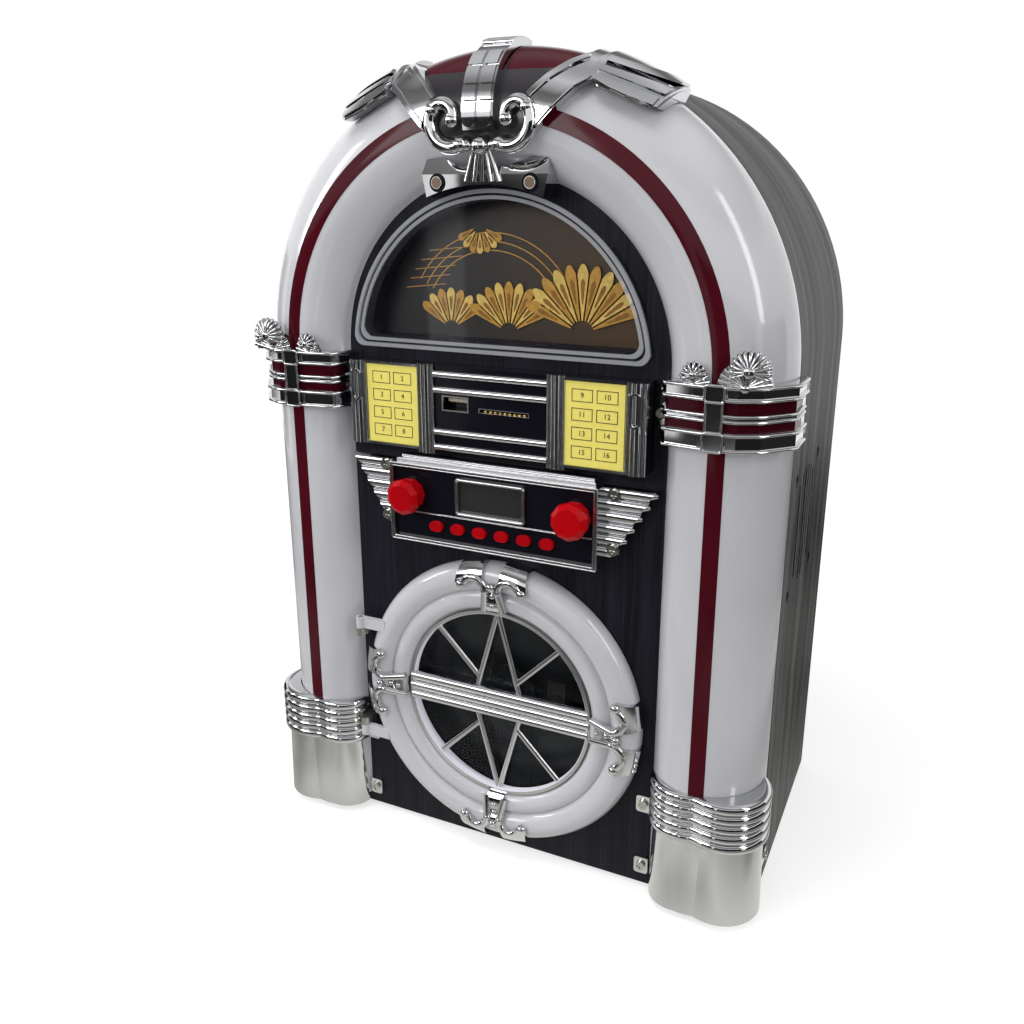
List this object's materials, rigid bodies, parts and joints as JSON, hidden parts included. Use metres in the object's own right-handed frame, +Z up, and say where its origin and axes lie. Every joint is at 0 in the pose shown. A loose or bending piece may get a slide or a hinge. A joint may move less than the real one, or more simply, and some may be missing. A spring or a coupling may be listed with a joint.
{
  "type": "mini jukebox",
  "caption": "Tabletop mini jukebox: an arched wood-grain cabinet with lit tubes, chrome trim, radio controls and a swing-open round disc door.",
  "frame": {"origin": "on the table under the middle of the overall box", "axes": "+X to the right seen from the front, +Y from the front to the back, +Z up"},
  "size_m": [0.2792, 0.1675, 0.4027],
  "materials": {
    "side_woodgrain": "black-grey wood-grain foil",
    "front_woodgrain": "near-black wood-grain foil",
    "fibreboard": "painted black",
    "printed_card": "printed",
    "rubber": "matte",
    "steel": "plated",
    "milky_plastic": "translucent milky white",
    "dark_red_plastic": "translucent dark red",
    "chromed_plastic": "vacuum-metallised chrome",
    "clear_plastic": "clear",
    "title_card": "printed yellow",
    "display_glass": "dark",
    "circuit_board": "green",
    "red_plastic": "glossy red",
    "black_plastic": "glossy black",
    "mechanism_plastic": "matte black"
  },
  "bodies": {
    "cabinet": {"cabinet_shell": "side_woodgrain", "front_board": "front_woodgrain", "title_base": "black_plastic", "control_fascia": "black_plastic", "base_panel": "fibreboard", "rear_panel": "fibreboard", "backdrop": "printed_card", "rubber_pads": "rubber", "rear_screws": "steel", "trim_screws": "steel", "hinge_pins": "steel", "hinge_brackets": "steel", "volume_pot": "steel", "tuning_pot": "steel", "disc_motor": "steel", "sled_rails": "steel", "usb_socket": "steel", "card_slot": "steel", "arch_tube": "milky_plastic", "right_tube": "milky_plastic", "left_tube": "milky_plastic", "arch_stripe": "dark_red_plastic", "right_stripe": "dark_red_plastic", "left_stripe": "dark_red_plastic", "right_collar_bands": "dark_red_plastic", "left_collar_bands": "dark_red_plastic", "ornament_panels": "dark_red_plastic", "right_collar": "chromed_plastic", "left_collar": "chromed_plastic", "right_foot": "chromed_plastic", "left_foot": "chromed_plastic", "ornament": "chromed_plastic", "title_frame": "chromed_plastic", "control_bezel": "chromed_plastic", "lcd_frame": "chromed_plastic", "dome_window": "clear_plastic", "left_card": "title_card", "right_card": "title_card", "lcd_module": "display_glass", "control_board": "circuit_board", "disc_well": "mechanism_plastic", "right_speaker": "mechanism_plastic", "left_speaker": "mechanism_plastic", "dc_jack": "mechanism_plastic"},
    "door": {"door_ring": "milky_plastic", "door_grille": "chromed_plastic", "door_clips": "chromed_plastic", "door_window": "clear_plastic"},
    "volume": {"volume_knob": "red_plastic", "volume_shaft": "steel"},
    "tuning": {"tuning_knob": "red_plastic", "tuning_shaft": "steel"},
    "turntable": {"disc_spindle": "mechanism_plastic"},
    "sled": {"laser_sled": "mechanism_plastic"},
    "key_1": {"button_1": "red_plastic"},
    "key_2": {"button_2": "red_plastic"},
    "key_3": {"button_3": "red_plastic"},
    "key_4": {"button_4": "red_plastic"},
    "key_5": {"button_5": "red_plastic"},
    "key_6": {"button_6": "red_plastic"}
  },
  "joints": [
    {"name": "door_swing", "type": "hinge", "parent": "cabinet", "child": "door", "pos_m": [-0.0793, -0.07225, 0.087], "axis": [0, 0, -1], "range_deg": [0, 100]},
    {"name": "volume_turn", "type": "hinge", "parent": "cabinet", "child": "volume", "pos_m": [-0.0438, -0.07825, 0.196], "axis": [0, 1, 0], "range_deg": [-150, 150]},
    {"name": "tuning_turn", "type": "hinge", "parent": "cabinet", "child": "tuning", "pos_m": [0.0438, -0.07825, 0.196], "axis": [0, 1, 0], "continuous": true},
    {"name": "disc_spin", "type": "hinge", "parent": "cabinet", "child": "turntable", "pos_m": [0, -0.05425, 0.087], "axis": [0, 1, 0], "continuous": true},
    {"name": "sled_travel", "type": "slide", "parent": "cabinet", "child": "sled", "axis": [1, 0, 0], "range_m": [0, 0.032]},
    {"name": "key_1_press", "type": "slide", "parent": "cabinet", "child": "key_1", "axis": [0, 1, 0], "range_m": [0, 0.001], "stiffness_N_per_m": 500, "springref_m": -0.0005},
    {"name": "key_2_press", "type": "slide", "parent": "cabinet", "child": "key_2", "axis": [0, 1, 0], "range_m": [0, 0.001], "stiffness_N_per_m": 500, "springref_m": -0.0005},
    {"name": "key_3_press", "type": "slide", "parent": "cabinet", "child": "key_3", "axis": [0, 1, 0], "range_m": [0, 0.001], "stiffness_N_per_m": 500, "springref_m": -0.0005},
    {"name": "key_4_press", "type": "slide", "parent": "cabinet", "child": "key_4", "axis": [0, 1, 0], "range_m": [0, 0.001], "stiffness_N_per_m": 500, "springref_m": -0.0005},
    {"name": "key_5_press", "type": "slide", "parent": "cabinet", "child": "key_5", "axis": [0, 1, 0], "range_m": [0, 0.001], "stiffness_N_per_m": 500, "springref_m": -0.0005},
    {"name": "key_6_press", "type": "slide", "parent": "cabinet", "child": "key_6", "axis": [0, 1, 0], "range_m": [0, 0.001], "stiffness_N_per_m": 500, "springref_m": -0.0005}
  ]
}
